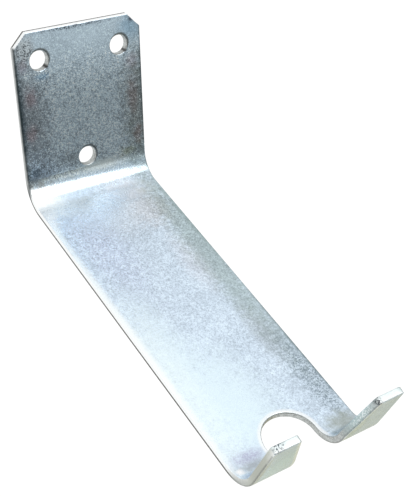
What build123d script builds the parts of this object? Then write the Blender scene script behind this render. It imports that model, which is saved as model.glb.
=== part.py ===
from build123d import *
from math import cos, radians, sin, tan
import os

# Bike pedal wall hook: one strip of zinc plated sheet, punched flat and folded twice.
# The plate lies against the wall in the plane y = 0, the arm runs out along -Y and slopes down,
# and its end is folded up into two lips, one on each side of the notch for the pedal axle.
# Origin: on the wall face, midway between the two upper screw holes. +X right, +Z up.

# Driving dimensions, in millimetres and degrees.
sheet = 3.0  # thickness of the strip
width = 60.0  # width of the strip, plate and arm alike
plate_height = 73.0  # plate, from its fold corner to its top edge, on the room side
arm_length = 167.0  # arm, from fold corner to fold corner, on its upper side
arm_drop = 18.0  # slope of the arm below the horizontal
lip_height = 33.0  # lips, from their fold corner to their top edge, on the wall side
lip_turn = 80.0  # how far the lips are folded up from the arm
wall_fold_radius = 12.0  # inside radius of the fold at the wall
lip_fold_radius = 11.0  # inside radius of the fold at the lips
corner_cut = 6.0  # leg of the cut top corners of the plate
screw_spacing = 38.0  # between the two upper screw holes
screw_from_top = 12.5  # upper screw holes, below the top edge of the plate
screw_hole = 8.4  # diameter of the three screw holes
hole_roll = 0.5  # round that the punch leaves on the room side of the screw holes
lower_hole_rise = 5.0  # lower screw hole, above the start of the wall fold
notch_width = 23.5  # width of the axle notch, and the diameter of its round end
mouth_flare = 16.0  # slant of each side of the notch where it opens between the lips
mouth_round = 12.0  # radius of the sweep from the straight side of the notch into the slant
lip_corner_round = 1.0  # round on the top corners of the lips
edge_round = 0.5  # rolled edge along the outline of the strip

# Directions of the arm and the lips in the side view, as (y, z).
lip_rise = radians(lip_turn - arm_drop)
arm_way = Vector(-cos(radians(arm_drop)), -sin(radians(arm_drop)))
lip_way = Vector(-cos(lip_rise), sin(lip_rise))

# Corners of the strip's upper side in the side view, as (y, z).
plate_top = Vector(-sheet, screw_from_top)
wall_corner = plate_top - Vector(0, plate_height)
lip_corner = wall_corner + arm_way * arm_length
lip_top = lip_corner + lip_way * lip_height

# Where each fold runs out into the flats beside it, measured from its corner.
wall_fold_reach = wall_fold_radius * tan(radians(90 - arm_drop) / 2)
lip_fold_reach = lip_fold_radius * tan(radians(lip_turn) / 2)

# Working planes: the wall, the upper side of the arm and the wall side of the lips.
across = (1, 0, 0)
lip_origin = (0, lip_corner.X, lip_corner.Y)
wall_plane = Plane(origin=(0, 0, 0), x_dir=across, z_dir=(0, -1, 0))
arm_plane = Plane(origin=lip_origin, x_dir=across, z_dir=(0, arm_way.Y, -arm_way.X))
lip_plane = Plane(origin=lip_origin, x_dir=across, z_dir=(0, -lip_way.Y, lip_way.X))
through_the_lips = Axis(lip_origin, lip_plane.z_dir)
up_the_lips = Axis(lip_origin, lip_plane.y_dir)

with BuildPart() as pedal_hook:
    # The strip: its upper side as a folded line, given its thickness away from the room.
    with BuildSketch(Plane.YZ):
        with BuildLine():
            upper_side = FilletPolyline(
                plate_top, wall_corner, lip_corner, lip_top, radius=(wall_fold_radius, lip_fold_radius)
            )
            offset(upper_side, amount=sheet, side=Side.LEFT, closed=True)
        make_face()
    extrude(amount=width / 2, both=True)

    # Top corners of the plate, cut off at 45 degrees.
    top_corners = pedal_hook.edges().filter_by(Axis.Y).group_by(Axis.Z)[-1]
    chamfer(top_corners, length=corner_cut)

    # Axle notch: a round end in the arm, where the lip fold starts, and straight sides out through the fold.
    with BuildSketch(arm_plane):
        with Locations((0, lip_fold_reach)):
            Circle(notch_width / 2)
            Rectangle(notch_width, lip_fold_reach + lip_height, align=(Align.CENTER, Align.MAX))
    extrude(amount=lip_height, both=True, mode=Mode.SUBTRACT)

    # Mouth of the notch: from the end of the fold each lip sweeps back and slants out to its top edge.
    with BuildSketch(lip_plane):
        with BuildLine():
            sweep = JernArc((notch_width / 2, lip_fold_reach), (0, 1), mouth_round, -mouth_flare)
            rise = lip_height - (sweep @ 1).Y
            slant = PolarLine(sweep @ 1, rise, direction=sweep % 1, length_mode=LengthMode.VERTICAL)
            Polyline(slant @ 1, (0, lip_height), (0, lip_fold_reach), sweep @ 0)
        make_face()
        mirror(about=Plane.YZ)
    extrude(amount=sheet, mode=Mode.SUBTRACT)

    # Top corners of the lips, rounded.
    lip_corners = pedal_hook.edges().filter_by(through_the_lips).group_by(up_the_lips)[-1]
    fillet(lip_corners, radius=lip_corner_round)

    # Rolled edges: round the plate, but for the two fold lines at its foot, and on along arm, lips and notch.
    plate_edges = pedal_hook.faces().filter_by(wall_plane).edges().sort_by(Axis.Z)
    fillet(plate_edges[2:], radius=edge_round)

    # Screw holes: a pair near the top corners and one on the centre line, just above the fold.
    with BuildSketch(wall_plane):
        with GridLocations(screw_spacing, 0, 2, 1):
            Circle(screw_hole / 2)
        with Locations((0, wall_corner.Y + wall_fold_reach + lower_hole_rise)):
            Circle(screw_hole / 2)
    extrude(amount=sheet, mode=Mode.SUBTRACT)

    # Their rims, drawn in by the punch on the room side.
    rims = pedal_hook.edges(Select.LAST).filter_by(GeomType.CIRCLE).group_by(Axis.Y)[0]
    fillet(rims, radius=hole_roll)

pedal_hook.part.label = "pedal_hook"

os.makedirs("parts", exist_ok=True)
export_step(pedal_hook.part, "parts/pedal_hook.step")
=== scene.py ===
"""Looks of the bike pedal wall hook: one folded strip of zinc plated sheet over a plain pale floor.

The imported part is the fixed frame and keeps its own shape. This script gives the strip its plating,
sets the studio round it and places the camera at the photograph's viewing angle.
Lengths are metres where nothing else is said, in the part's own frame: the wall face of the plate lies
in y = 0, +X is right and +Z is up.
"""

import logging
from dataclasses import dataclass, field
from enum import Enum
from math import cos, radians, sin, sqrt, tan
from typing import Any

import bpy
from mathutils import Matrix, Quaternion, Vector


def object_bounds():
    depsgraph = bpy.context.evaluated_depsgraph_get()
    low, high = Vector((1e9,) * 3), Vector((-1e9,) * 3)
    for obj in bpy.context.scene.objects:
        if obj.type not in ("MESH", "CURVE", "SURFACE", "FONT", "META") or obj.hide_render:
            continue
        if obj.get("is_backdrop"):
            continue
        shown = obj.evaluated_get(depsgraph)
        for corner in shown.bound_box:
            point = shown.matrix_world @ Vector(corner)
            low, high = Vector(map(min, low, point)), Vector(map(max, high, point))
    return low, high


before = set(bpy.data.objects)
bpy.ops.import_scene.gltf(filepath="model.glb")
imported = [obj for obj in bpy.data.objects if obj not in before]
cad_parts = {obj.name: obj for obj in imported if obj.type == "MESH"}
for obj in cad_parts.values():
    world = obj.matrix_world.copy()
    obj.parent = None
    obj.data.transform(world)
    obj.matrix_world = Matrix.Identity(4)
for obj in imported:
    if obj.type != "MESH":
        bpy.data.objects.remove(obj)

LOG = logging.getLogger("pedal_hook_scene")

IMAGE_WIDTH_PX = 409
IMAGE_HEIGHT_PX = 497
SENSOR_MM = 36.0
MM = 0.001
WHITE = (1.0, 1.0, 1.0)

# Kinds of node group sockets.
VECTOR = "NodeSocketVector"
FLOAT = "NodeSocketFloat"

# The Mix node's sockets for colours, by number: its sockets for other types have the same names.
MIX_SHARE = 0
MIX_BELOW = 6
MIX_ABOVE = 7
MIX_RESULT = 2

# The level that a Noise Texture swings round.
NOISE_MIDDLE = 0.5

Triple = tuple[float, float, float]
Colour = tuple[float, float, float]
Socket = bpy.types.NodeSocket
NodeGroup = bpy.types.ShaderNodeTree


def deselect_all() -> None:
    """Deselects every object, so that the next operator acts on its own piece alone."""
    bpy.ops.object.select_all(action="DESELECT")


def opaque(colour: Colour) -> tuple[float, float, float, float]:
    """Returns the colour with a full alpha, as colour sockets want it."""
    return (*colour, 1.0)


@dataclass(frozen=True)
class Fade:
    """A smooth change from one level to another, between two values of what drives it."""

    low: float
    high: float
    start: float = 0.0
    end: float = 1.0


class Wiring:
    """Adds nodes to one node tree and links their sockets."""

    def __init__(self, tree: bpy.types.NodeTree) -> None:
        """Keeps the node tree of a material, a world or a node group, and empties it."""
        self.tree = tree
        tree.nodes.clear()

    def add(self, kind: str, inputs: dict[str, Any] | None = None, **settings: Any) -> bpy.types.Node:
        """Adds a node.

        Args:
            kind: The node's type name.
            inputs: Plain values, or sockets to link, by the name of the input.
            settings: Properties of the node itself.

        Returns:
            The new node.
        """
        node = self.tree.nodes.new(kind)
        for name, value in settings.items():
            setattr(node, name, value)
        for name, value in (inputs or {}).items():
            self.feed(node.inputs[name], value)
        return node

    def feed(self, socket: Socket, value: Any) -> None:
        """Links a socket to an input, or sets the input's plain value.

        Args:
            socket: The input.
            value: A socket to link, or a plain value.
        """
        if isinstance(value, Socket):
            self.tree.links.new(value, socket)
        else:
            socket.default_value = value

    def math(self, operation: str, *values: Any) -> Socket:
        """Adds a Math node, or a chain of them where there are more than two values.

        Args:
            operation: The operation's name, such as MULTIPLY.
            values: The values or sockets, taken together from left to right.

        Returns:
            The result's socket.
        """
        node = self.add("ShaderNodeMath", operation=operation)
        for socket, value in zip(node.inputs, values[:2]):
            self.feed(socket, value)
        result = node.outputs["Value"]
        return self.math(operation, result, *values[2:]) if values[2:] else result

    def vector(self, operation: str, first: Any, second: Any = None) -> bpy.types.Node:
        """Adds a Vector Math node.

        Args:
            operation: The operation's name, such as SUBTRACT.
            first: The first vector or socket.
            second: The second vector or socket, for operations that take two.

        Returns:
            The new node.
        """
        node = self.add("ShaderNodeVectorMath", operation=operation)
        self.feed(node.inputs[0], first)
        if second is not None:
            self.feed(node.inputs[1], second)
        return node

    def scale(self, vector: Any, factor: Any) -> Socket:
        """Adds a Vector Math node that scales a vector or a colour.

        Args:
            vector: The vector, colour or socket.
            factor: The factor or its socket.

        Returns:
            The scaled vector's socket.
        """
        node = self.vector("SCALE", vector)
        self.feed(node.inputs["Scale"], factor)
        return node.outputs["Vector"]

    def axes(self, place: Socket) -> bpy.types.NodeOutputs:
        """Adds a Separate XYZ node and gives its outputs, by the axis's name."""
        return self.add("ShaderNodeSeparateXYZ", {"Vector": place}).outputs

    def group(self, tree: NodeGroup, inputs: dict[str, Any]) -> bpy.types.Node:
        """Adds one use of a node group, with plain values or sockets by the name of the input."""
        return self.add("ShaderNodeGroup", inputs, node_tree=tree)

    def ramp(self, value: Any, fade: Fade) -> Socket:
        """Adds a smooth Map Range node.

        Args:
            value: The value or socket that drives the fade.
            fade: The two values it changes between, and the levels there.

        Returns:
            The result's socket.
        """
        node = self.add(
            "ShaderNodeMapRange",
            {
                "Value": value,
                "From Min": fade.low,
                "From Max": fade.high,
                "To Min": fade.start,
                "To Max": fade.end,
            },
            interpolation_type="SMOOTHSTEP",
        )
        return node.outputs["Result"]

    def blend(self, share: Any, below: Any, above: Any, mode: str = "MIX") -> Socket:
        """Adds a colour Mix node.

        Args:
            share: How much of the upper colour shows.
            below: The colour below.
            above: The colour on top.
            mode: The blend type.

        Returns:
            The mixed colour's socket.
        """
        node = self.add("ShaderNodeMix", data_type="RGBA", blend_type=mode)
        self.feed(node.inputs[MIX_SHARE], share)
        self.feed(node.inputs[MIX_BELOW], below)
        self.feed(node.inputs[MIX_ABOVE], above)
        return node.outputs[MIX_RESULT]


def new_material(name: str) -> tuple[bpy.types.Material, Wiring]:
    """Makes an empty node material.

    Args:
        name: The material's name.

    Returns:
        The material, and the wiring of its nodes.
    """
    material = bpy.data.materials.new(name)
    material.use_nodes = True
    return material, Wiring(material.node_tree)


def new_group(name: str, inputs: dict[str, str], outputs: dict[str, str]) -> NodeGroup:
    """Makes an empty shader node group with named sockets.

    Args:
        name: The group's name.
        inputs: Socket types by input name.
        outputs: Socket types by output name.

    Returns:
        The group, ready to be wired.
    """
    group = bpy.data.node_groups.new(name, "ShaderNodeTree")
    for direction, sockets in (("INPUT", inputs), ("OUTPUT", outputs)):
        for socket_name, kind in sockets.items():
            group.interface.new_socket(socket_name, in_out=direction, socket_type=kind)
    return group


@dataclass(frozen=True)
class GrainGroup:
    """The node group for the salt and pepper grain of plated sheet."""

    noise_detail: float = 2.0
    noise_roughness: float = 0.65
    levels: Fade = Fade(0.3, 0.7)

    def build(self) -> NodeGroup:
        """Builds the group.

        Returns:
            A group that takes a place, a grain size and a seed, and gives the grain's level from 0 to 1.
        """
        inputs = {"Place": VECTOR, "Grain Size": FLOAT, "Seed": FLOAT}
        group = new_group("metal_grain", inputs, {"Level": FLOAT})
        wiring = Wiring(group)
        given = wiring.add("NodeGroupInput").outputs
        noise = wiring.add(
            "ShaderNodeTexNoise",
            {
                "Vector": given["Place"],
                "W": given["Seed"],
                "Scale": wiring.math("DIVIDE", 1.0, given["Grain Size"]),
                "Detail": self.noise_detail,
                "Roughness": self.noise_roughness,
            },
            noise_dimensions="4D",
        )
        wiring.add("NodeGroupOutput", {"Level": wiring.ramp(noise.outputs["Fac"], self.levels)})
        return group


@dataclass(frozen=True)
class PatchGroup:
    """The node group for one soft-edged patch, such as a stain, a rubbed place, painted shade or a
    painted highlight.
    """

    noise_scale: float = 420.0
    noise_detail: float = 4.0
    noise_roughness: float = 0.6
    fall: Fade = Fade(0.15, 1.0, 1.0, 0.0)

    def build(self) -> NodeGroup:
        """Builds the group.

        Returns:
            A group that takes a place, the patch's centre, its reach along each axis and how ragged its
            edge is, and gives a mask that falls from 1 at the centre to 0 at the reach.
        """
        inputs = {"Place": VECTOR, "Centre": VECTOR, "Reach": VECTOR, "Ragged": FLOAT}
        group = new_group("soft_patch", inputs, {"Mask": FLOAT})
        wiring = Wiring(group)
        given = wiring.add("NodeGroupInput").outputs
        offset = wiring.vector("SUBTRACT", given["Place"], given["Centre"]).outputs["Vector"]
        share = wiring.vector("DIVIDE", offset, given["Reach"]).outputs["Vector"]
        length = wiring.vector("LENGTH", share).outputs["Value"]
        noise = wiring.add(
            "ShaderNodeTexNoise",
            {
                "Vector": given["Place"],
                "Scale": self.noise_scale,
                "Detail": self.noise_detail,
                "Roughness": self.noise_roughness,
            },
        )
        swing = wiring.math("SUBTRACT", noise.outputs["Fac"], NOISE_MIDDLE)
        wobble = wiring.math("MULTIPLY", swing, given["Ragged"])
        mask = wiring.ramp(wiring.math("ADD", length, wobble), self.fall)
        wiring.add("NodeGroupOutput", {"Mask": mask})
        return group


class Flat(Enum):
    """The three flats of the folded strip."""

    PLATE = "plate"
    ARM = "arm"
    LIP = "lip"


class Lay(Enum):
    """How a patch lies on the plating: a stain or painted shade multiplies the colour and lets the grain
    show, a cover hides it.
    """

    STAIN = "MULTIPLY"
    COVER = "MIX"


class Breakup(Enum):
    """What breaks up a patch that isn't whole: loose flecks, or a net of hairlines."""

    FLECKS = "flecks"
    HAIRLINES = "hairlines"


@dataclass(frozen=True)
class StripShape:
    """The folded strip's own lines, which its finish follows."""

    half_width: float = 0.03
    sheet: float = 0.003
    top: float = 0.0125
    corner_cut: float = 0.006
    fold_corner: float = -0.0605
    arm_length: float = 0.167
    arm_drop_deg: float = 18.0
    lip_turn_deg: float = 80.0
    lip_height: float = 0.033
    wall_fold_radius: float = 0.012
    lip_fold_radius: float = 0.011
    notch_radius: float = 0.01175
    mouth_flare_deg: float = 16.0
    mouth_start: float = 1.18  # where the notch starts to widen, in reaches of the lip fold
    screw_holes: tuple[Triple, ...] = ((-0.019, 0.0, 0.0), (0.019, 0.0, 0.0), (0.0, 0.0, -0.04678))
    hole_radius: float = 0.0042
    hole_depth: float = 1.2  # how far from the wall the holes count, in thicknesses of the sheet

    def way(self, flat: Flat) -> Vector:
        """Gives the direction that leads along a flat, from the plate's top toward the lips' tops.

        Args:
            flat: The flat.

        Returns:
            The direction, one unit long.
        """
        drop = radians(self.arm_drop_deg)
        rise = radians(self.lip_turn_deg - self.arm_drop_deg)
        ways = {
            Flat.PLATE: Vector((0.0, 0.0, -1.0)),
            Flat.ARM: Vector((0.0, -cos(drop), -sin(drop))),
            Flat.LIP: Vector((0.0, -cos(rise), sin(rise))),
        }
        return ways[flat]

    def outward(self, flat: Flat) -> Vector:
        """Gives the direction that stands out from a flat's upper side."""
        return self.way(flat).cross(Vector((1.0, 0.0, 0.0)))

    def start(self, flat: Flat) -> Vector:
        """Gives the place on the strip's upper side that distances along a flat are measured from.

        Args:
            flat: The flat.

        Returns:
            The place: level with the upper screw holes for the plate, and for the other flats the
            corner where the flat's fold would come to a point.
        """
        corner = Vector((0.0, -self.sheet, self.fold_corner))
        starts = {
            Flat.PLATE: Vector((0.0, -self.sheet, 0.0)),
            Flat.ARM: corner,
            Flat.LIP: corner + self.way(Flat.ARM) * self.arm_length,
        }
        return starts[flat]

    def spot(self, flat: Flat, across: float, along: float) -> Vector:
        """Gives a place on a flat's upper side, from millimetres across and along the flat."""
        return self.start(flat) + Vector((across * MM, 0.0, 0.0)) + self.way(flat) * (along * MM)

    @staticmethod
    def fold_reach(radius: float, turn_deg: float) -> float:
        """Gives how far a fold reaches from its corner along the flats beside it."""
        return radius * tan(radians(turn_deg) / 2)

    def along(self, wiring: Wiring, place: Socket, flat: Flat) -> Socket:
        """Adds the distance along a flat from its start."""
        return self.measure(wiring, place, self.start(flat), self.way(flat))

    @staticmethod
    def measure(wiring: Wiring, place: Socket, start: Vector, way: Vector) -> Socket:
        """Adds the distance from a start along one direction."""
        reach = wiring.vector("DOT_PRODUCT", place, tuple(way)).outputs["Value"]
        return wiring.math("SUBTRACT", reach, start.dot(way))

    def depth(self, wiring: Wiring, place: Socket) -> Socket:
        """Adds the depth in the sheet: 0 on its upper side, the sheet's thickness on its under side.

        Args:
            wiring: The material's nodes.
            place: The socket with object coordinates.

        Returns:
            The socket with the depth.
        """
        flats = (self.measure(wiring, place, self.start(flat), -self.outward(flat)) for flat in Flat)
        depth = wiring.math("MAXIMUM", *flats)
        side_view = wiring.vector("MULTIPLY", place, (0.0, 1.0, 1.0)).outputs["Vector"]
        for before, after, radius, turn_deg in (
            (Flat.PLATE, Flat.ARM, self.wall_fold_radius, 90.0 - self.arm_drop_deg),
            (Flat.ARM, Flat.LIP, self.lip_fold_radius, self.lip_turn_deg),
        ):
            reach = self.fold_reach(radius, turn_deg)
            corner = self.start(after)
            centre = corner - self.way(before) * reach + self.outward(before) * radius
            radial = wiring.vector("DISTANCE", side_view, tuple(centre)).outputs["Value"]
            up_to = self.measure(wiring, place, corner, self.way(before))
            on_from = self.measure(wiring, place, corner, self.way(after))
            inside = wiring.math(
                "MULTIPLY",
                wiring.math("GREATER_THAN", up_to, -reach),
                wiring.math("LESS_THAN", on_from, reach),
            )
            change = wiring.math("SUBTRACT", wiring.math("SUBTRACT", radial, radius), depth)
            depth = wiring.math("ADD", depth, wiring.math("MULTIPLY", change, inside))
        return depth

    def outline(self, wiring: Wiring, place: Socket) -> Socket:
        """Adds the distance from the strip's outer outline: sides, top, cut corners and lip tops.

        Args:
            wiring: The material's nodes.
            place: The socket with object coordinates.

        Returns:
            The socket with the distance.
        """
        axes = wiring.axes(place)
        side = wiring.math("SUBTRACT", self.half_width, wiring.math("ABSOLUTE", axes["X"]))
        top = wiring.math("SUBTRACT", self.top, axes["Z"])
        cut = wiring.math("MULTIPLY", wiring.math("ADD", side, top, -self.corner_cut), sqrt(0.5))
        lip = wiring.math("SUBTRACT", self.lip_height, self.along(wiring, place, Flat.LIP))
        short_of_lips = wiring.math("ADD", axes["Y"], self.arm_length - self.lip_height / 2)
        return wiring.math("MINIMUM", side, top, cut, wiring.math("MAXIMUM", lip, short_of_lips))

    def notch(self, wiring: Wiring, place: Socket) -> Socket:
        """Adds the distance from the outline of the axle notch, through arm, fold and lips.

        Args:
            wiring: The material's nodes.
            place: The socket with object coordinates.

        Returns:
            The socket with the distance.
        """
        across = wiring.math("ABSOLUTE", wiring.axes(place)["X"])
        reach = self.fold_reach(self.lip_fold_radius, self.lip_turn_deg)
        along = self.along(wiring, place, Flat.ARM)
        behind = wiring.math("MINIMUM", wiring.math("SUBTRACT", along, self.arm_length - reach), 0.0)
        corner = wiring.add("ShaderNodeCombineXYZ", {"X": across, "Y": behind}).outputs["Vector"]
        radial = wiring.vector("LENGTH", corner).outputs["Value"]
        slot = wiring.math("SUBTRACT", radial, self.notch_radius)
        up = wiring.math("SUBTRACT", self.along(wiring, place, Flat.LIP), reach * self.mouth_start)
        slant = tan(radians(self.mouth_flare_deg))
        flare = wiring.math("MULTIPLY", wiring.math("MAXIMUM", up, 0.0), slant)
        return wiring.math("SUBTRACT", slot, flare)

    def holes(self, wiring: Wiring, place: Socket, aside: Triple = (0.0, 0.0, 0.0)) -> Socket:
        """Adds the distance from the nearest screw hole's wall.

        Args:
            wiring: The material's nodes.
            place: The socket with object coordinates.
            aside: How far the holes are moved aside, for the painted shade that lies on one side of each.

        Returns:
            The socket with the distance.
        """
        front_view = wiring.vector("MULTIPLY", place, (1.0, 0.0, 1.0)).outputs["Vector"]
        front_view = wiring.vector("SUBTRACT", front_view, aside).outputs["Vector"]
        centres = (
            wiring.vector("DISTANCE", front_view, hole).outputs["Value"] for hole in self.screw_holes
        )
        wall = wiring.math("SUBTRACT", wiring.math("MINIMUM", *centres), self.hole_radius)
        off_plate = wiring.math("SUBTRACT", -self.hole_depth * self.sheet, wiring.axes(place)["Y"])
        return wiring.math("MAXIMUM", wall, off_plate)


@dataclass(frozen=True)
class Patch:
    """One stained, dulled or brightened place of the plating; many are painted shade or painted
    highlights. Lengths are millimetres on its flat.
    """

    flat: Flat
    across: float
    along: float
    half_width: float
    half_length: float
    tint: Colour
    strength: float
    broken: float = 0.0
    breakup: Breakup = Breakup.FLECKS
    lay: Lay = Lay.COVER
    ragged: float = 1.0
    depth: float = 0.0
    half_depth: float = 12.0

    def centre(self, shape: StripShape) -> Triple:
        """Gives the patch's centre in the part's frame."""
        spot = shape.spot(self.flat, self.across, self.along)
        return tuple(spot - shape.outward(self.flat) * (self.depth * MM))

    def reach(self) -> Triple:
        """Gives how far the patch reaches along each axis of the part's frame.

        Returns:
            The reach along X, Y and Z, through the sheet too. On the sloping arm a long patch also
            reaches as far up and down as along.
        """
        if self.flat is Flat.ARM:
            reach = (self.half_width, self.half_length, max(self.half_depth, self.half_length))
        else:
            reach = (self.half_width, self.half_depth, self.half_length)
        return tuple(length * MM for length in reach)


@dataclass(frozen=True)
class CutEdge:
    """The sheared edge of the sheet: burnished next to the upper side, torn and darker below."""

    burnished: Colour = (0.93, 0.95, 0.95)
    torn: Colour = (0.11, 0.11, 0.1)
    pierced: Colour = (0.45, 0.47, 0.46)
    pierced_least: float = 0.6
    pierced_swing: float = 0.8
    roughness: float = 0.42
    # By the distance from a cut: its own finish, the bright rim of the notch, the painted shade just
    # outside one side of each screw hole.
    margin: Fade = Fade(0.0001, 0.0004, 1.0, 0.0)
    rim: Fade = Fade(0.0009, 0.0022, 0.75, 0.0)
    hole_rim_shade: Fade = Fade(0.0001, 0.0008, 0.85, 0.0)
    hole_rim_shade_aside: Triple = (0.0005, 0.0, 0.0006)
    # The right side, whose rolled upper edge stays plated.
    right_side: Fade = Fade(0.0285, 0.029)
    right_roll: Fade = Fade(0.0003, 0.0007, 1.0, 0.0)
    # The torn band, by the depth in the sheet, and where it ends along the arm.
    torn_depth: Fade = Fade(0.0014, 0.0018)
    torn_end: Fade = Fade(0.158, 0.168, 1.0, 0.0)
    # The dark line on the lips: its depth, where it starts and ends, and the grain that breaks it up.
    line_depth: Fade = Fade(0.0021, 0.0027, 0.0, 0.6)
    line_start: Fade = Fade(0.152, 0.16)
    line_end: Fade = Fade(0.03, 0.032, 1.0, 0.0)
    line_wear: Fade = Fade(0.3, 0.6, 0.5, 1.0)


@dataclass(frozen=True)
class ZincPlating:
    """Bright zinc plating on rolled sheet: bluish, satin, with a fine mottled grain, and with painted
    shade and painted highlights laid over it in patches.
    """

    bright: Colour = (0.64, 0.75, 0.86)
    dull: Colour = (0.57, 0.67, 0.77)
    cloud_size: float = 0.011
    grain_size: float = 0.0012
    speck_size: float = 0.0006
    fleck_size: float = 0.00062
    fleck_levels: Fade = Fade(0.45, 0.7)
    craze_size: float = 0.0032
    craze_warp: float = 1.5
    craze_detail: float = 3.0
    craze_line: Fade = Fade(0.0, 0.1, 1.0, 0.0)
    # The pepper is grain and specks together, and swings round its middle.
    grain_share: float = 0.35
    speck_share: float = 0.65
    pepper_middle: float = 0.53
    pepper_swing: float = 2.0
    glints: Fade = Fade(0.8, 1.0, 0.0, 1.6)
    # By the place along Y, the arm's level first and the plate's second.
    onto_plate: Fade = Fade(-0.009, -0.004)
    arm_painted_light: Fade = Fade(-0.009, -0.004, 1.06, 1.0)
    # Painted light: the arm's colour is made 6 per cent brighter than the plate's.
    roughness: Fade = Fade(-0.01, -0.005, 0.31, 0.15)
    relief: Fade = Fade(-0.0055, -0.0035, 0.25, 1.0)
    # Contrast of the grain: up the plate, along the arm and through the sheet.
    above_fold: Fade = Fade(-0.055, -0.05, 0.35, 0.72)
    below_top: Fade = Fade(-0.012, 0.006, 1.0, 0.24)
    past_fold: Fade = Fade(0.008, 0.03, 0.368, 0.46)
    toward_lips: Fade = Fade(0.03, 0.08, 1.0, 0.7)
    under_side: Fade = Fade(0.002, 0.0028, 1.0, 0.4)
    # What the pepper does to the gloss and to the surface.
    gloss_swing: Fade = Fade(0.2, 0.8, 0.04, -0.04)
    bump_height: float = 0.000012
    shape: StripShape = field(default_factory=StripShape)
    edge: CutEdge = field(default_factory=CutEdge)
    patches: tuple[Patch, ...] = ()
    edge_marks: tuple[Patch, ...] = ()

    def build(self) -> bpy.types.Material:
        """Builds the plating's material.

        Returns:
            A metal whose colour, gloss and surface vary over the strip.
        """
        material, wiring = new_material("zinc_plating")
        place = wiring.add("ShaderNodeTexCoord").outputs["Object"]
        grain_tree = GrainGroup().build()
        sizes = (self.cloud_size, self.grain_size, self.speck_size, self.fleck_size)
        clouds, grain, specks, flecks = (
            wiring.group(grain_tree, {"Place": place, "Grain Size": size, "Seed": seed}).outputs["Level"]
            for seed, size in enumerate(sizes)
        )
        pepper = wiring.math(
            "ADD",
            wiring.math("MULTIPLY", grain, self.grain_share),
            wiring.math("MULTIPLY", specks, self.speck_share),
        )
        depth = self.shape.depth(wiring, place)
        colour = wiring.blend(clouds, opaque(self.dull), opaque(self.bright))
        colour = self.salted(wiring, place, depth, colour, pepper, specks)
        patch_tree = PatchGroup().build()
        breakups = {
            Breakup.FLECKS: wiring.ramp(flecks, self.fleck_levels),
            Breakup.HAIRLINES: self.hairlines(wiring, place),
        }
        colour = self.patched(wiring, patch_tree, place, colour, breakups, self.patches)
        colour, cut = self.edged(wiring, place, depth, colour, pepper)
        colour = self.patched(wiring, patch_tree, place, colour, breakups, self.edge_marks)
        worn_cut = wiring.math("MULTIPLY", cut, wiring.ramp(pepper, self.edge.line_wear))
        colour = self.lined(wiring, place, depth, colour, worn_cut)
        out = wiring.axes(place)["Y"]
        roughness = wiring.ramp(out, self.roughness)
        roughness = wiring.math("ADD", roughness, wiring.ramp(pepper, self.gloss_swing))
        dulling = wiring.math("MULTIPLY", wiring.math("SUBTRACT", self.edge.roughness, roughness), cut)
        relief = wiring.ramp(out, self.relief)
        bump = wiring.add(
            "ShaderNodeBump", {"Height": pepper, "Strength": relief, "Distance": self.bump_height}
        )
        shader = wiring.add(
            "ShaderNodeBsdfPrincipled",
            {
                "Base Color": colour,
                "Metallic": 1.0,
                "Roughness": wiring.math("ADD", roughness, dulling),
                "Normal": bump.outputs["Normal"],
            },
        )
        wiring.add("ShaderNodeOutputMaterial", {"Surface": shader.outputs["BSDF"]})
        return material

    def salted(
        self,
        wiring: Wiring,
        place: Socket,
        depth: Socket,
        colour: Socket,
        pepper: Socket,
        specks: Socket,
    ) -> Socket:
        """Adds the salt and pepper grain, strongest midway up the plate and faint on the under side.

        Args:
            wiring: The material's nodes.
            place: The socket with object coordinates.
            depth: The depth in the sheet.
            colour: The plating's colour so far.
            pepper: The grain's level.
            specks: The level of the finest grain, whose peaks glint on the plate.

        Returns:
            The socket with the grained colour.
        """
        axes = wiring.axes(place)
        plate = wiring.ramp(axes["Y"], self.onto_plate)
        above_fold = wiring.ramp(axes["Z"], self.above_fold)
        on_plate = wiring.math("MULTIPLY", above_fold, wiring.ramp(axes["Z"], self.below_top))
        along = self.shape.along(wiring, place, Flat.ARM)
        past_fold = wiring.ramp(along, self.past_fold)
        on_arm = wiring.math("MULTIPLY", past_fold, wiring.ramp(along, self.toward_lips))
        gain = wiring.math("MULTIPLY", wiring.math("SUBTRACT", on_plate, on_arm), plate)
        contrast = wiring.math("ADD", on_arm, gain)
        contrast = wiring.math("MULTIPLY", contrast, wiring.ramp(depth, self.under_side))
        glint = wiring.math("MULTIPLY", wiring.ramp(specks, self.glints), plate)
        swing = wiring.math("SUBTRACT", pepper, self.pepper_middle)
        swing = wiring.math("ADD", wiring.math("MULTIPLY", swing, self.pepper_swing), glint)
        shade = wiring.math("ADD", 1.0, wiring.math("MULTIPLY", swing, contrast))
        # Painted light: the arm's colour is brightened against the plate's.
        arm_painted_light = wiring.ramp(axes["Y"], self.arm_painted_light)
        return wiring.scale(colour, wiring.math("MULTIPLY", arm_painted_light, shade))

    def hairlines(self, wiring: Wiring, place: Socket) -> Socket:
        """Adds the net of hairlines that crazes the plating.

        Args:
            wiring: The material's nodes.
            place: The socket with object coordinates.

        Returns:
            The socket with the lines' mask.
        """
        warp = wiring.add(
            "ShaderNodeTexNoise",
            {"Vector": place, "Scale": self.craze_warp / self.craze_size, "Detail": self.craze_detail},
        )
        middle = (NOISE_MIDDLE, NOISE_MIDDLE, NOISE_MIDDLE)
        sway = wiring.vector("SUBTRACT", warp.outputs["Color"], middle).outputs["Vector"]
        bent = wiring.vector("ADD", place, wiring.scale(sway, self.craze_size)).outputs["Vector"]
        cells = wiring.add(
            "ShaderNodeTexVoronoi",
            {"Vector": bent, "Scale": 1.0 / self.craze_size},
            feature="DISTANCE_TO_EDGE",
        )
        return wiring.ramp(cells.outputs["Distance"], self.craze_line)

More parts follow.
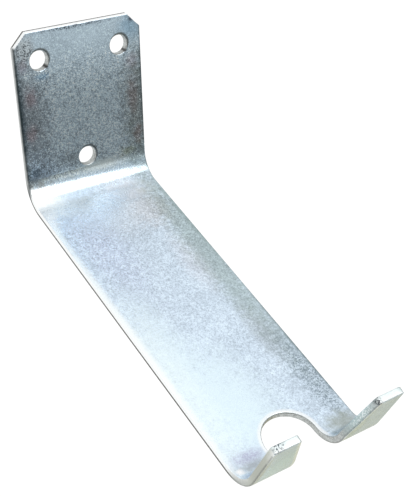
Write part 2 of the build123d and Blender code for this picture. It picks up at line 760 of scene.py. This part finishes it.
    def patched(
        self,
        wiring: Wiring,
        tree: NodeGroup,
        place: Socket,
        colour: Socket,
        breakups: dict[Breakup, Socket],
        patches: tuple[Patch, ...],
    ) -> Socket:
        """Lays patches over the colour.

        Args:
            wiring: The material's nodes.
            tree: The patch group.
            place: The socket with object coordinates.
            colour: The plating's colour so far.
            breakups: The masks that break up the patches which aren't whole.
            patches: The patches, the lowest first.

        Returns:
            The socket with the patched colour.
        """
        for patch in patches:
            inputs = {
                "Place": place,
                "Centre": patch.centre(self.shape),
                "Reach": patch.reach(),
                "Ragged": patch.ragged,
            }
            mask = wiring.group(tree, inputs).outputs["Mask"]
            share = wiring.math("MULTIPLY", mask, patch.strength)
            if patch.broken:
                whole = wiring.math("MULTIPLY", breakups[patch.breakup], patch.broken)
                share = wiring.math("MULTIPLY", share, wiring.math("ADD", whole, 1.0 - patch.broken))
            colour = wiring.blend(share, colour, opaque(patch.tint), patch.lay.value)
        return colour

    def edged(
        self, wiring: Wiring, place: Socket, depth: Socket, colour: Socket, pepper: Socket
    ) -> tuple[Socket, Socket]:
        """Gives the cut edges of the sheet their own finish, and paints shade just outside one side of
        each screw hole.

        Args:
            wiring: The material's nodes.
            place: The socket with object coordinates.
            depth: The depth in the sheet.
            colour: The plating's colour so far.
            pepper: The grain's level.

        Returns:
            The sockets with the colour and with the mask of all cut edges.
        """
        edge, shape = self.edge, self.shape
        notch = shape.notch(wiring, place)
        holes = shape.holes(wiring, place)
        # Painted shade: a dark crescent just outside the upper right of each screw hole's rim.
        hole_rim_shade = wiring.ramp(shape.holes(wiring, place, edge.hole_rim_shade_aside), edge.hole_rim_shade)
        colour = wiring.blend(hole_rim_shade, colour, opaque(edge.torn))
        colour = wiring.blend(wiring.ramp(notch, edge.rim), colour, opaque(edge.burnished))
        pierced = wiring.ramp(wiring.math("MINIMUM", notch, holes), edge.margin)
        swing = wiring.math("MULTIPLY", pepper, edge.pierced_swing)
        punched = wiring.scale(edge.pierced, wiring.math("ADD", edge.pierced_least, swing))
        colour = wiring.blend(pierced, colour, punched)
        outer = wiring.ramp(shape.outline(wiring, place), edge.margin)
        right = wiring.ramp(wiring.axes(place)["X"], edge.right_side)
        plated = wiring.math("MULTIPLY", right, wiring.ramp(depth, edge.right_roll))
        outer = wiring.math("MULTIPLY", outer, wiring.math("SUBTRACT", 1.0, plated))
        before_lips = wiring.ramp(shape.along(wiring, place, Flat.ARM), edge.torn_end)
        torn = wiring.math("MULTIPLY", wiring.ramp(depth, edge.torn_depth), before_lips)
        sheared = wiring.blend(torn, opaque(edge.burnished), opaque(edge.torn))
        colour = wiring.blend(outer, colour, sheared)
        return colour, wiring.math("MAXIMUM", pierced, outer)

    def lined(
        self, wiring: Wiring, place: Socket, depth: Socket, colour: Socket, cut: Socket
    ) -> Socket:
        """Darkens the line where the cut sides of the lips meet the under side of the sheet.

        Args:
            wiring: The material's nodes.
            place: The socket with object coordinates.
            depth: The depth in the sheet.
            colour: The plating's colour so far.
            cut: The mask of the cut edges.

        Returns:
            The socket with the lined colour.
        """
        edge, shape = self.edge, self.shape
        deep = wiring.ramp(depth, edge.line_depth)
        past_arm = wiring.ramp(shape.along(wiring, place, Flat.ARM), edge.line_start)
        below_top = wiring.ramp(shape.along(wiring, place, Flat.LIP), edge.line_end)
        line = wiring.math("MULTIPLY", deep, cut, past_arm, below_top)
        return wiring.blend(line, colour, opaque(edge.torn))


PLATE_MARKS = (
    # Painted shade: the plate's left side, right side and lower part are darkened, where it mirrors
    # darker surroundings.
    Patch(Flat.PLATE, -27.0, 26.0, 16.0, 44.0, (0.6, 0.56, 0.54), 0.9, lay=Lay.STAIN),
    Patch(Flat.PLATE, 27.5, 28.0, 13.0, 34.0, (0.64, 0.59, 0.54), 0.9, lay=Lay.STAIN),
    Patch(Flat.PLATE, -13.0, 48.0, 22.0, 9.0, (0.64, 0.6, 0.57), 0.85, lay=Lay.STAIN),
    # Painted highlight: a white band where the plate runs into the wall fold.
    Patch(Flat.PLATE, 7.0, 52.5, 17.0, 4.0, (0.95, 1.0, 1.0), 0.6, ragged=0.5),
    # Reddish and yellowish stains, and bluish tints.
    Patch(Flat.PLATE, -24.4, 15.2, 4.5, 7.0, (1.0, 0.72, 0.72), 0.7, lay=Lay.STAIN),
    Patch(Flat.PLATE, -25.8, 31.0, 4.5, 6.0, (1.0, 0.72, 0.7), 0.7, lay=Lay.STAIN),
    Patch(Flat.PLATE, -26.8, 1.0, 3.0, 5.0, (1.0, 0.8, 0.85), 0.6, lay=Lay.STAIN),
    Patch(Flat.PLATE, 24.8, 8.0, 4.5, 5.0, (1.0, 0.8, 0.82), 0.6, lay=Lay.STAIN),
    Patch(Flat.PLATE, 24.7, 24.0, 4.0, 14.0, (1.0, 0.78, 0.76), 0.7, lay=Lay.STAIN),
    Patch(Flat.PLATE, 26.6, 41.8, 4.0, 7.0, (1.0, 0.74, 0.7), 0.7, lay=Lay.STAIN),
    Patch(Flat.PLATE, 20.3, 49.6, 6.0, 3.5, (0.8, 0.74, 0.5), 0.6, lay=Lay.STAIN),
    Patch(Flat.PLATE, 25.0, -7.0, 8.0, 8.0, (0.55, 0.7, 0.8), 0.7, lay=Lay.STAIN),
    Patch(Flat.PLATE, -18.4, 7.0, 5.0, 2.5, (0.6, 0.78, 0.95), 0.7, lay=Lay.STAIN),
    # Painted shade: dark lines along the plate's left, right and top edges, partly broken up by flecks.
    Patch(Flat.PLATE, -29.8, 24.0, 2.8, 40.0, (0.06, 0.09, 0.11), 1.0, 0.35),
    Patch(Flat.PLATE, 30.0, 20.0, 1.8, 42.0, (0.1, 0.12, 0.13), 0.9, 0.2),
    Patch(Flat.PLATE, -2.0, -11.7, 27.0, 1.4, (0.1, 0.12, 0.15), 1.0, 0.85),
    # A lighter place and dark flecks at the top left corner, and dark flecks low on the left.
    Patch(Flat.PLATE, -25.5, -6.0, 6.5, 9.0, (1.0, 1.0, 1.0), 0.4),
    Patch(Flat.PLATE, -25.5, -5.0, 7.0, 10.0, (0.06, 0.07, 0.09), 0.85, 1.0),
    Patch(Flat.PLATE, -25.0, 51.0, 15.0, 7.0, (0.09, 0.11, 0.13), 0.75, 0.65),
    # Painted glints: white flecks along the top of the wall fold.
    Patch(Flat.PLATE, -13.0, 52.6, 24.0, 2.8, (0.92, 1.0, 1.0), 0.8, 1.0),
    # Dark flecks at the lower left corner, and a dark blotch on the right cut corner.
    Patch(Flat.PLATE, -29.0, 49.5, 7.0, 6.0, (0.05, 0.08, 0.1), 0.9, 0.6),
    Patch(Flat.PLATE, 25.7, -10.1, 2.3, 1.8, (0.04, 0.05, 0.08), 1.0, 0.2),
)

ARM_MARKS = (
    # Tints over the arm, and the hairline crazing.
    Patch(Flat.ARM, 4.0, 42.0, 20.0, 30.0, (0.5, 0.59, 0.67), 0.25),
    Patch(Flat.ARM, 0.0, 26.0, 34.0, 18.0, (1.0, 0.95, 0.92), 0.7, lay=Lay.STAIN),
    Patch(Flat.ARM, 17.0, 24.0, 14.0, 20.0, (0.95, 0.88, 0.83), 0.8, lay=Lay.STAIN),
    Patch(Flat.ARM, -20.0, 28.0, 16.0, 26.0, (1.0, 0.94, 0.92), 0.6, lay=Lay.STAIN),
    Patch(Flat.ARM, 17.0, 62.0, 9.0, 26.0, (1.0, 0.93, 0.9), 0.7, lay=Lay.STAIN),
    Patch(Flat.ARM, 21.0, 108.0, 8.0, 26.0, (0.84, 0.82, 0.8), 0.8, lay=Lay.STAIN),
    Patch(Flat.ARM, -14.0, 46.0, 15.0, 36.0, (0.96, 0.94, 1.0), 0.6, lay=Lay.STAIN),
    Patch(Flat.ARM, -12.0, 52.0, 22.0, 62.0, (0.3, 0.31, 0.4), 0.26, 1.0, Breakup.HAIRLINES),
    # Painted highlights: white along the arm's left side.
    Patch(Flat.ARM, -20.0, 102.0, 14.0, 50.0, (0.81, 0.95, 1.0), 0.45),
    Patch(Flat.ARM, -12.0, 136.0, 26.0, 46.0, (0.76, 0.9, 0.97), 0.85),
    Patch(Flat.ARM, -27.0, 122.0, 14.0, 64.0, (0.9, 1.0, 1.0), 0.4, ragged=0.6),
    Patch(Flat.ARM, -29.5, 90.0, 3.4, 120.0, (0.95, 1.0, 1.0), 0.9, ragged=0.4),
    Patch(Flat.ARM, -29.5, 12.0, 3.6, 40.0, (0.95, 1.0, 1.0), 0.9, ragged=0.4),
    # In the wall fold and just past it: painted highlights, white and bluish white, on the left and in
    # the middle, and painted shade on the right and in a band across the fold.
    Patch(Flat.ARM, -14.0, 8.0, 30.0, 14.0, (0.9, 0.96, 0.97), 0.55),
    Patch(Flat.ARM, -25.0, 5.0, 12.0, 13.0, (0.95, 1.0, 1.0), 0.8),
    Patch(Flat.ARM, -28.5, 11.0, 6.5, 16.0, (0.98, 1.0, 1.0), 0.8, ragged=0.6),
    Patch(Flat.ARM, 17.0, 15.0, 9.0, 7.0, (0.85, 0.85, 0.84), 0.8, lay=Lay.STAIN),
    Patch(Flat.ARM, -2.0, 21.0, 26.0, 17.0, (0.84, 0.92, 1.0), 0.36),
    Patch(Flat.ARM, 14.0, 10.5, 16.0, 8.0, (0.82, 0.86, 0.92), 0.75),
    Patch(Flat.ARM, -8.0, 5.0, 18.0, 3.4, (0.78, 0.87, 0.97), 0.85, lay=Lay.STAIN, ragged=0.4),
    # Painted shade: a darker band and darker rims along the arm's right side.
    Patch(Flat.ARM, 26.0, 58.0, 12.0, 115.0, (0.66, 0.69, 0.63), 0.95, lay=Lay.STAIN),
    Patch(Flat.ARM, 30.0, 35.0, 3.0, 50.0, (0.28, 0.36, 0.36), 0.7),
    Patch(Flat.ARM, 30.0, 122.0, 1.8, 64.0, (0.2, 0.26, 0.27), 0.85, ragged=0.5),
    # Dark teal flecks near the lips.
    Patch(Flat.ARM, 25.5, 138.0, 9.0, 36.0, (0.14, 0.19, 0.23), 0.75, 0.9),
    # Painted shade in the folds to the lips, on the right and on the left.
    Patch(Flat.ARM, 23.0, 161.5, 12.0, 8.5, (0.36, 0.4, 0.36), 0.75),
    Patch(Flat.ARM, 20.0, 166.5, 11.0, 3.8, (0.3, 0.37, 0.38), 0.7),
    Patch(Flat.ARM, -20.0, 157.5, 11.0, 4.6, (0.42, 0.43, 0.58), 0.85, 0.4),
    Patch(Flat.ARM, -21.0, 161.8, 9.0, 3.2, (0.34, 0.37, 0.4), 0.7),
    Patch(Flat.ARM, -20.0, 166.0, 10.0, 3.6, (0.42, 0.44, 0.44), 0.75),
    # Painted highlight: a white spot at the left corner of the left lip's fold.
    Patch(Flat.ARM, -27.3, 162.5, 2.2, 2.6, (1.0, 1.0, 1.0), 0.9),
)

EDGE_MARKS = (
    Patch(
        Flat.PLATE, -30.0, 22.0, 1.0, 90.0, (0.66, 0.68, 0.67), 1.0, ragged=0.1, depth=3.0, half_depth=3.5
    ),
    # Painted shade: a dark line along the front edge of the plate's left side.
    Patch(Flat.PLATE, -30.0, 22.0, 0.9, 90.0, (0.03, 0.045, 0.05), 1.0, ragged=0.3, half_depth=2.6),
    # Dark specks at the rims of the upper screw holes.
    Patch(Flat.PLATE, -15.9, 3.0, 1.3, 1.1, (0.03, 0.03, 0.03), 0.95, ragged=0.3),
    Patch(Flat.PLATE, 22.1, 3.0, 1.3, 1.1, (0.04, 0.04, 0.04), 0.9, ragged=0.3),
    # Tints of the left lip's outer face, its left cut side and the right lip's notch face.
    Patch(Flat.LIP, -21.0, 20.0, 14.0, 26.0, (0.93, 0.99, 0.9), 0.8, lay=Lay.STAIN),
    Patch(Flat.LIP, -30.0, 20.0, 3.0, 60.0, (0.48, 0.51, 0.45), 0.95, ragged=0.2),
    Patch(Flat.LIP, 15.0, 22.0, 5.0, 32.0, (0.5, 0.62, 0.62), 0.9, ragged=0.3),
    # Painted glints: white flecks on the right lip's notch face.
    Patch(Flat.LIP, 15.5, 22.0, 3.4, 30.0, (0.95, 1.0, 1.0), 0.7, 1.0),
    # Colours of the lips' top ends.
    Patch(Flat.LIP, -22.0, 33.5, 16.0, 2.6, (0.7, 0.8, 0.81), 0.85, ragged=0.3),
    Patch(Flat.LIP, 24.0, 33.5, 12.0, 2.6, (0.72, 0.83, 0.84), 0.85, ragged=0.3),
    # Painted shade on the rounded top corners of the lips.
    Patch(Flat.LIP, -17.6, 33.4, 2.2, 2.4, (0.45, 0.5, 0.51), 0.8, ragged=0.3),
    Patch(Flat.LIP, 29.3, 33.4, 2.2, 2.4, (0.5, 0.6, 0.6), 0.8, ragged=0.3),
    # Dark flecks near the lips' tops, and darker lines along the left lip's cut side.
    Patch(Flat.LIP, 18.3, 31.5, 2.2, 2.6, (0.05, 0.06, 0.07), 0.95, 0.8),
    Patch(Flat.LIP, -27.0, 33.0, 4.2, 3.6, (0.03, 0.04, 0.06), 1.0, 0.85),
    Patch(Flat.LIP, -30.2, 18.0, 0.7, 60.0, (0.43, 0.45, 0.4), 0.95, ragged=0.2),
    Patch(Flat.LIP, -30.2, -2.0, 0.8, 10.0, (0.26, 0.28, 0.25), 0.8, ragged=0.2),
)


@dataclass(frozen=True)
class PaleFloorPaint:
    """Matte white floor that stays white in the picture and still takes a shadow."""

    colour: Colour = (0.9, 0.9, 0.9)
    lift: float = 0.16

    def build(self) -> bpy.types.Material:
        """Builds the floor's material.

        Returns:
            A matte white that is lifted a little for the camera and for mirror-like surfaces.
        """
        material, wiring = new_material("pale_floor")
        paths = wiring.add("ShaderNodeLightPath").outputs
        seen = (paths["Is Camera Ray"], paths["Is Glossy Ray"], paths["Is Transmission Ray"])
        strength = wiring.math("MULTIPLY", wiring.math("MAXIMUM", *seen), self.lift)
        matte = wiring.add("ShaderNodeBsdfDiffuse", {"Color": opaque(self.colour)})
        glow = wiring.add("ShaderNodeEmission", {"Color": opaque(WHITE), "Strength": strength})
        total = wiring.add("ShaderNodeAddShader")
        wiring.feed(total.inputs[0], matte.outputs["BSDF"])
        wiring.feed(total.inputs[1], glow.outputs["Emission"])
        wiring.add("ShaderNodeOutputMaterial", {"Surface": total.outputs["Shader"]})
        return material


@dataclass(frozen=True)
class CardPaper:
    """Plain paper of a studio card, at one even level."""

    name: str
    level: Colour

    def build(self) -> bpy.types.Material:
        """Builds the paper's material.

        Returns:
            An even tone.
        """
        material, wiring = new_material(self.name)
        glow = wiring.add("ShaderNodeEmission", {"Color": opaque(self.level), "Strength": 1.0})
        wiring.add("ShaderNodeOutputMaterial", {"Surface": glow.outputs["Emission"]})
        return material


@dataclass(frozen=True)
class StudioCard:
    """A card round the object that the camera doesn't see: only the metal mirrors it."""

    name: str
    centre: Triple
    facing: Triple
    width: float
    height: float
    level: Colour
    roll_deg: float = 0.0

    def build(self) -> bpy.types.Object:
        """Builds the card.

        Returns:
            The card's object, marked as stage.
        """
        deselect_all()
        turn = Vector(self.facing).to_track_quat("Z", "Y")
        turn = turn @ Quaternion((0.0, 0.0, 1.0), radians(self.roll_deg))
        bpy.ops.mesh.primitive_plane_add(size=1.0, location=self.centre, rotation=turn.to_euler())
        card = bpy.context.object
        card.name = self.name
        card.scale = (self.width, self.height, 1.0)
        card.data.materials.append(CardPaper(self.name + "_paper", self.level).build())
        card.visible_camera = False
        card.visible_diffuse = False
        card.visible_shadow = False
        card.visible_transmission = False
        card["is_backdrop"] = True
        return card


@dataclass(frozen=True)
class SoftBox:
    """A square soft lamp that looks at a point of the object."""

    name: str
    centre: Triple
    target: Triple
    side: float
    watts: float

    def build(self) -> bpy.types.Object:
        """Builds the lamp.

        Returns:
            The lamp's object.
        """
        deselect_all()
        turn = (Vector(self.target) - Vector(self.centre)).to_track_quat("-Z", "Y")
        bpy.ops.object.light_add(type="AREA", location=self.centre, rotation=turn.to_euler())
        lamp = bpy.context.object
        lamp.name = self.name
        lamp.data.shape = "SQUARE"
        lamp.data.size = self.side
        lamp.data.energy = self.watts
        return lamp


@dataclass(frozen=True)
class PhotoCamera:
    """The camera at the photograph's viewing angle, with its lens and framing."""

    place: Triple = (-0.1915, -0.3771, 0.1324)
    azimuth_deg: float = -35.572
    elevation_deg: float = 32.997
    roll_deg: float = 0.124
    focal_px: float = 992.55
    centre_px: tuple[float, float] = (225.0, 325.0)
    clip_near: float = 0.01
    clip_far: float = 100.0

    def build(self) -> bpy.types.Object:
        """Builds the camera and makes it the scene's own.

        Returns:
            The camera's object.
        """
        deselect_all()
        bpy.ops.object.camera_add(location=self.place)
        camera = bpy.context.object
        camera.name = "photo_camera"
        camera.rotation_euler = self.turn().to_euler()
        long_side = max(IMAGE_WIDTH_PX, IMAGE_HEIGHT_PX)
        camera.data.sensor_width = SENSOR_MM
        camera.data.lens = self.focal_px / long_side * SENSOR_MM
        camera.data.shift_x = (IMAGE_WIDTH_PX / 2 - self.centre_px[0]) / long_side
        camera.data.shift_y = (self.centre_px[1] - IMAGE_HEIGHT_PX / 2) / long_side
        camera.data.clip_start = self.clip_near
        camera.data.clip_end = self.clip_far
        bpy.context.scene.camera = camera
        return camera

    def turn(self) -> Matrix:
        """Works out the camera's rotation.

        Returns:
            The matrix whose columns are the camera's right, up and back directions.
        """
        azimuth = radians(self.azimuth_deg)
        elevation = radians(self.elevation_deg)
        roll = radians(self.roll_deg)
        back = Vector((sin(azimuth) * cos(elevation), -cos(azimuth) * cos(elevation), sin(elevation)))
        level = Vector((cos(azimuth), sin(azimuth), 0.0))
        upright = back.cross(level)
        right = level * cos(roll) + upright * sin(roll)
        up = back.cross(right)
        return Matrix((right, up, back)).transposed()


@dataclass
class Studio:
    """The plain pale floor, the even white surround, the lamps and the cards."""

    floor_drop: float = 0.24
    floor_side: float = 60.0
    surround: Colour = WHITE
    surround_level: float = 1.0
    lamps: tuple[SoftBox, ...] = ()
    cards: tuple[StudioCard, ...] = ()

    def build(self) -> None:
        """Builds the surround, the floor, the lamps and the cards."""
        self.build_surround()
        LOG.info("floor %s", self.build_floor().name)
        for lamp in self.lamps:
            LOG.info("lamp %s", lamp.build().name)
        for card in self.cards:
            LOG.info("card %s", card.build().name)

    def build_surround(self) -> None:
        """Sets the world to one even white."""
        world = bpy.data.worlds.new("white_surround")
        world.use_nodes = True
        wiring = Wiring(world.node_tree)
        sky = wiring.add(
            "ShaderNodeBackground", {"Color": opaque(self.surround), "Strength": self.surround_level}
        )
        wiring.add("ShaderNodeOutputWorld", {"Surface": sky.outputs["Background"]})
        bpy.context.scene.world = world

    def build_floor(self) -> bpy.types.Object:
        """Builds the floor, below the hook's lowest point.

        Returns:
            The floor's object, marked as stage.
        """
        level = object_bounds()[0].z - self.floor_drop
        deselect_all()
        bpy.ops.mesh.primitive_plane_add(size=self.floor_side, location=(0.0, 0.0, level))
        floor = bpy.context.object
        floor.name = "pale_floor"
        floor.data.materials.append(PaleFloorPaint().build())
        floor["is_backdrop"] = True
        return floor


# What the metal mirrors. The first five cards stand in front of the plate. The middle and the edge card
# stand a little nearer than the others and hide a part of them.
TO_WALL = (0.0, 1.0, 0.0)
TO_ROOM = (0.0, -1.0, 0.0)
TO_LEFT = (-1.0, 0.0, 0.0)
UP_TO_LIPS = (-0.15, -0.05, 0.2)
SHADE = (0.315, 0.34, 0.335)
CARDS = (
    StudioCard("front_card", (0.449, -0.4, -0.078), TO_WALL, 1.2, 0.6, SHADE, -56.0),
    StudioCard("front_low_card", (-0.35, -0.4, -0.18), TO_WALL, 0.95, 0.32, SHADE),
    StudioCard("mid_card", (0.2, -0.39, -0.087), TO_WALL, 0.15, 0.125, (0.64, 0.68, 0.67)),
    StudioCard("edge_card", (0.281, -0.395, 0.058), TO_WALL, 0.42, 0.18, (0.6, 0.65, 0.66), -45.0),
    StudioCard("fold_card", (0.24, -0.4, 0.326), TO_WALL, 0.72, 0.22, (2.5, 2.5, 2.5), -56.0),
    StudioCard("right_card", (0.7, 0.0, -0.12), TO_LEFT, 0.8, 0.44, (0.3, 0.33, 0.33)),
    StudioCard("back_card", (0.4, 0.5, -0.14), TO_ROOM, 1.0, 0.4, (0.4, 0.42, 0.42)),
    StudioCard("low_card", (0.15, -0.12, -0.3), UP_TO_LIPS, 0.3, 0.3, (0.68, 0.65, 0.5)),
)

ARM_MIDDLE = (0.0, -0.085, -0.087)
LAMPS = (SoftBox("overhead_softbox", (-0.05, -0.2, 0.6), ARM_MIDDLE, 0.7, 0.3),)


@dataclass
class PedalHook:
    """The folded strip: screw plate, sloping arm and two lips, in one node."""

    node: str = "pedal_hook"
    slot: str = "zinc_plated_steel"
    finish: ZincPlating = field(default_factory=ZincPlating)

    def dress(self) -> bpy.types.Object:
        """Gives the strip its plating.

        Returns:
            The strip's object.
        """
        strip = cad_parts[self.node]
        plating = self.finish.build()
        for material_slot in strip.material_slots:
            material_slot.material = plating
        LOG.info("piece %s in %s", strip.name, plating.name)
        return strip


def main() -> None:
    """Dresses the hook, builds the studio and places the camera."""
    logging.basicConfig(level=logging.INFO, format="%(name)s: %(message)s")
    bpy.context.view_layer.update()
    bpy.context.scene.view_settings.view_transform = "Standard"
    PedalHook(finish=ZincPlating(patches=ARM_MARKS + PLATE_MARKS, edge_marks=EDGE_MARKS)).dress()
    Studio(lamps=LAMPS, cards=CARDS).build()
    PhotoCamera().build()


if __name__ == "__main__":
    main()
